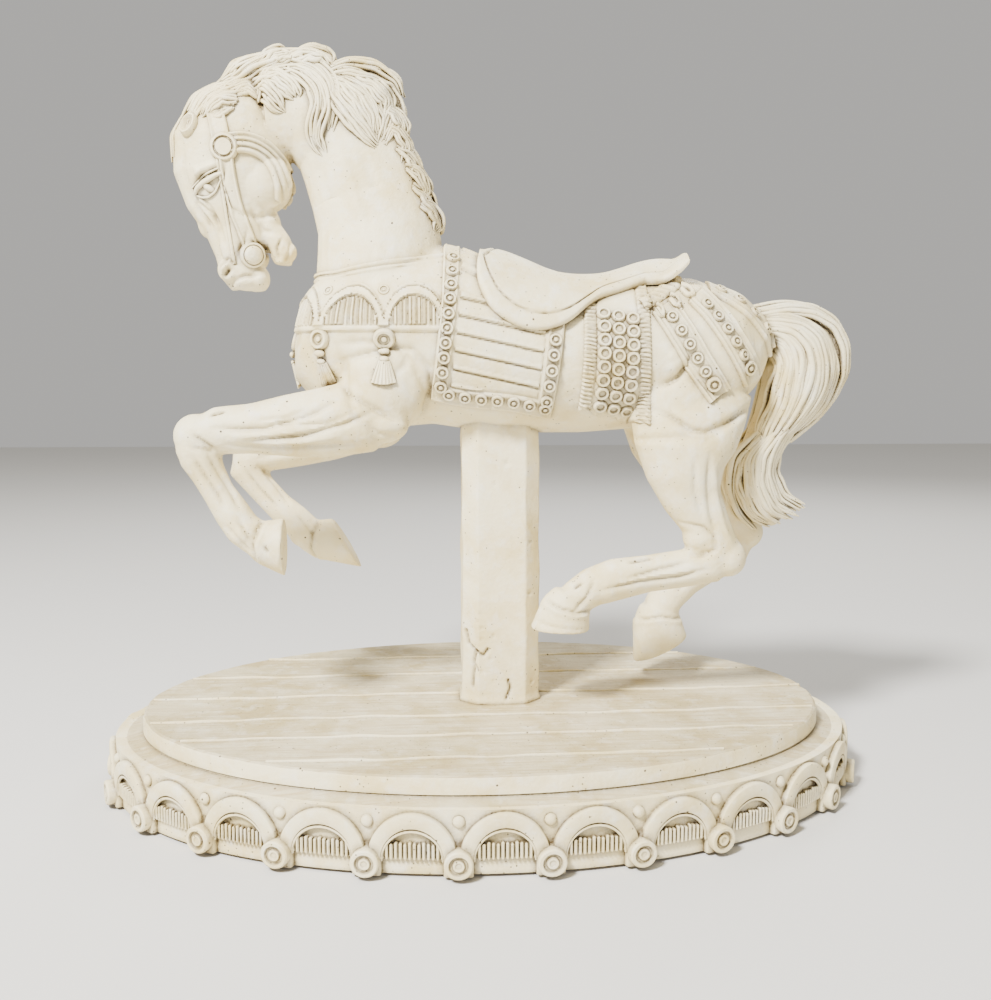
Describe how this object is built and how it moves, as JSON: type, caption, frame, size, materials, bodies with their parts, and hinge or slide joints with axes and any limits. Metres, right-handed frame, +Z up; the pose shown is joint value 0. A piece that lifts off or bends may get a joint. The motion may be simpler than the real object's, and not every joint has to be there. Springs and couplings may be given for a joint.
{
  "type": "carousel horse statuette",
  "caption": "Antique-white cast resin carousel horse in moulded tack, leaping on a thick column over an oval planked deck and an arcaded oval plinth.",
  "frame": {"origin": "middle of the underside, on the face that rests on the table", "axes": "+Z up, -X the way the horse leaps, -Y its near (left) side"},
  "size_m": [0.353, 0.2366, 0.3346],
  "materials": {
    "cast_resin": "satin",
    "deck_resin": "matt",
    "steel": "zinc plated",
    "brass": "turned",
    "felt": "felt"
  },
  "bodies": {
    "root": {"plinth": "cast_resin", "deck": "deck_resin", "post": "cast_resin", "torso": "cast_resin", "neck_and_head": "cast_resin", "near_foreleg": "cast_resin", "far_foreleg": "cast_resin", "near_hind_leg": "cast_resin", "far_hind_leg": "cast_resin", "tail": "cast_resin", "saddle": "cast_resin", "threaded_rod": "steel", "rod_nut": "steel", "rod_washer": "steel", "near_foreleg_pin": "steel", "far_foreleg_pin": "steel", "near_hind_leg_pin": "steel", "far_hind_leg_pin": "steel", "neck_pin_front": "steel", "neck_pin_rear": "steel", "tail_pin": "steel", "body_insert": "brass", "base_felt": "felt"}
  },
  "joints": []
}
